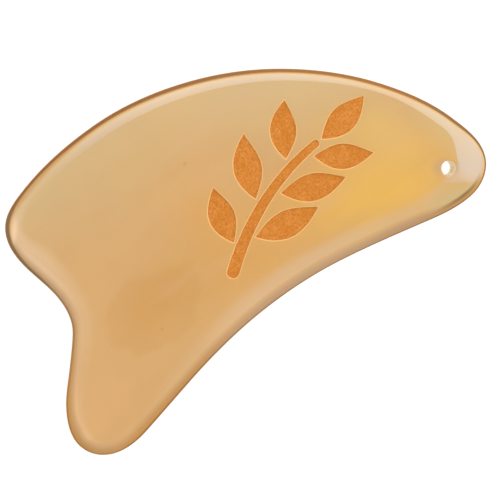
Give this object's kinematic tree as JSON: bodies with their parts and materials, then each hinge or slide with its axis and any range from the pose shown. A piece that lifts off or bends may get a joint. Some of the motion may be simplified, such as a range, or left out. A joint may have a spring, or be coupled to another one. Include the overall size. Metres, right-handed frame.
{
  "type": "gua sha scraper",
  "caption": "Flat massage scraper plate with a convex back, concave scraping edge, rounded nose with a cord hole, small lobe and an engraved leaf sprig filled with orange enamel.",
  "frame": {"origin": "bottom centre of the bounding box, on the plane of the back face", "axes": "+X along the plate's long side towards the nose with the cord hole, +Y towards the convex back edge, +Z out of the engraved front face"},
  "size_m": [0.102, 0.0804, 0.0056],
  "materials": {
    "amber_resin": "polished translucent amber resin",
    "orange_enamel": "gritty orange enamel fill"
  },
  "bodies": {
    "root": {"scraper_plate": "amber_resin", "enamel_stem": "orange_enamel", "enamel_leaf_1": "orange_enamel", "enamel_leaf_2": "orange_enamel", "enamel_leaf_3": "orange_enamel", "enamel_leaf_4": "orange_enamel", "enamel_leaf_5": "orange_enamel", "enamel_leaf_6": "orange_enamel", "enamel_leaf_7": "orange_enamel"}
  },
  "joints": []
}
